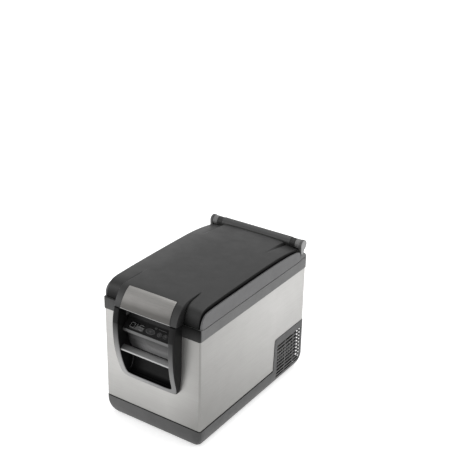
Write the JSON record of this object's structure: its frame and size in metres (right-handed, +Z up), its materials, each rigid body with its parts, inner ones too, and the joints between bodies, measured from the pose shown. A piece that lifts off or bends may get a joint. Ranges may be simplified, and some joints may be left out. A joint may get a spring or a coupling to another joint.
{
  "type": "compressor cooler fridge",
  "caption": "Portable chest fridge with steel sides, plastic base and rim, end-hinged lid, front display recess with carry handle and latch, and a vented compressor bay.",
  "frame": {"origin": "middle of the overall footprint, on the floor under the feet", "axes": "+X to the right when facing the display end, +Y from the display end to the hinge end, +Z up"},
  "size_m": [0.38, 0.705, 0.5075],
  "materials": {
    "base_plastic": "fine moulded texture",
    "rim_plastic": "fine moulded texture",
    "lid_skirt_plastic": "fine moulded texture",
    "lid_cover_plastic": "leather-grain moulded texture",
    "cabinet_steel": "hammered light grey, clear coated",
    "foam": "rigid polyurethane foam",
    "liner_plastic": "satin",
    "evaporator_aluminium": "roll-bonded sheet",
    "housing_plastic": "satin",
    "bezel_silver": "silver-grey satin paint",
    "handle_silver": "satin",
    "strip_silver": "bright silver paint",
    "fascia_black": "semi gloss",
    "window_smoke": "polished smoked window",
    "button_rubber": "soft",
    "circuit_board": "green laminate",
    "lever_grey": "satin",
    "pin_steel": "ground",
    "rubber_black": "matt",
    "badge_aluminium": "brushed",
    "hinge_cap_silver": "silver-grey satin",
    "hinge_sleeve_grey": "satin",
    "hinge_barrel_dark": "satin",
    "lamp_white": "frosted",
    "compressor_black": "gloss black enamel",
    "module_grey": "cast, ribbed",
    "module_dark": "satin",
    "condenser_aluminium": "finned",
    "copper": "copper tube",
    "basket_wire": "white coated wire",
    "drain_plastic": "satin"
  },
  "bodies": {
    "cabinet": {"base_tray": "base_plastic", "foot_front_left": "rubber_black", "foot_front_right": "rubber_black", "foot_rear_left": "rubber_black", "foot_rear_right": "rubber_black", "rear_grille": "base_plastic", "cabinet_shell": "cabinet_steel", "insulation_foam": "foam", "inner_liner": "liner_plastic", "evaporator_plate": "evaporator_aluminium", "drain_tube": "drain_plastic", "top_rim": "rim_plastic", "interior_light": "lamp_white", "bezel_trim": "bezel_silver", "front_housing": "housing_plastic", "carry_handle_front": "handle_silver", "display_trim_strip": "strip_silver", "control_fascia": "fascia_black", "display_window": "window_smoke", "display_board": "circuit_board", "latch_pin": "pin_steel", "latch_spring": "pin_steel", "rear_housing": "housing_plastic", "carry_handle_rear": "handle_silver", "dc_inlet": "module_dark", "ac_inlet": "module_dark", "compressor": "compressor_black", "compressor_mount_front": "rubber_black", "compressor_mount_rear": "rubber_black", "compressor_base_plate": "pin_steel", "compressor_controller": "module_dark", "power_supply_module": "module_grey", "condenser": "condenser_aluminium", "fan_shroud": "module_dark", "fan_motor": "module_dark", "filter_drier": "copper", "suction_line": "copper", "hinge_rod": "pin_steel", "hinge_cap_left": "hinge_cap_silver", "hinge_cap_right": "hinge_cap_silver", "hinge_sleeve_left": "hinge_sleeve_grey", "hinge_sleeve_right": "hinge_sleeve_grey"},
    "lid": {"lid_side_frame": "lid_skirt_plastic", "lid_top_cover": "lid_cover_plastic", "lid_badge_plate": "badge_aluminium", "lid_inner_panel": "liner_plastic", "lid_gasket": "rubber_black", "lid_foam": "foam", "lid_striker": "pin_steel", "lid_hinge_barrel": "hinge_barrel_dark"},
    "latch": {"latch_lever": "lever_grey"},
    "button_set_body": {"button_set": "button_rubber"},
    "button_down_body": {"button_down": "button_rubber"},
    "button_up_body": {"button_up": "button_rubber"},
    "button_power_body": {"button_power": "button_rubber"},
    "fan": {"fan_rotor": "module_dark"},
    "drain_cap": {"drain_plug": "rubber_black"},
    "basket": {"wire_basket": "basket_wire", "basket_divider": "basket_wire"}
  },
  "joints": [
    {"name": "lid_hinge", "type": "hinge", "parent": "cabinet", "child": "lid", "pos_m": [0, 0.297, 0.4895], "axis": [-1, 0, 0], "range_deg": [0, 95]},
    {"name": "latch_pivot", "type": "hinge", "parent": "cabinet", "child": "latch", "pos_m": [0, -0.306, 0.35], "axis": [-1, 0, 0], "range_deg": [0, 7], "stiffness_Nm_per_rad": 1.2, "springref_deg": -2.86},
    {"name": "fan_spin", "type": "hinge", "parent": "cabinet", "child": "fan", "pos_m": [0.1085, 0.214, 0.084], "axis": [1, 0, 0], "continuous": true},
    {"name": "basket_lift", "type": "slide", "parent": "cabinet", "child": "basket", "axis": [0, 0, 1], "range_m": [0, 0.045]},
    {"name": "drain_plug_pull", "type": "slide", "parent": "cabinet", "child": "drain_cap", "axis": [-1, 0, 0], "range_m": [0, 0.01]},
    {"name": "button_set_press", "type": "slide", "parent": "cabinet", "child": "button_set_body", "axis": [0, 0.6286, -0.7777], "range_m": [0, 0.001], "stiffness_N_per_m": 600, "springref_m": -0.001},
    {"name": "button_down_press", "type": "slide", "parent": "cabinet", "child": "button_down_body", "axis": [0, 0.6286, -0.7777], "range_m": [0, 0.001], "stiffness_N_per_m": 600, "springref_m": -0.001},
    {"name": "button_up_press", "type": "slide", "parent": "cabinet", "child": "button_up_body", "axis": [0, 0.6286, -0.7777], "range_m": [0, 0.001], "stiffness_N_per_m": 600, "springref_m": -0.001},
    {"name": "button_power_press", "type": "slide", "parent": "cabinet", "child": "button_power_body", "axis": [0, 0.6286, -0.7777], "range_m": [0, 0.001], "stiffness_N_per_m": 600, "springref_m": -0.001}
  ]
}
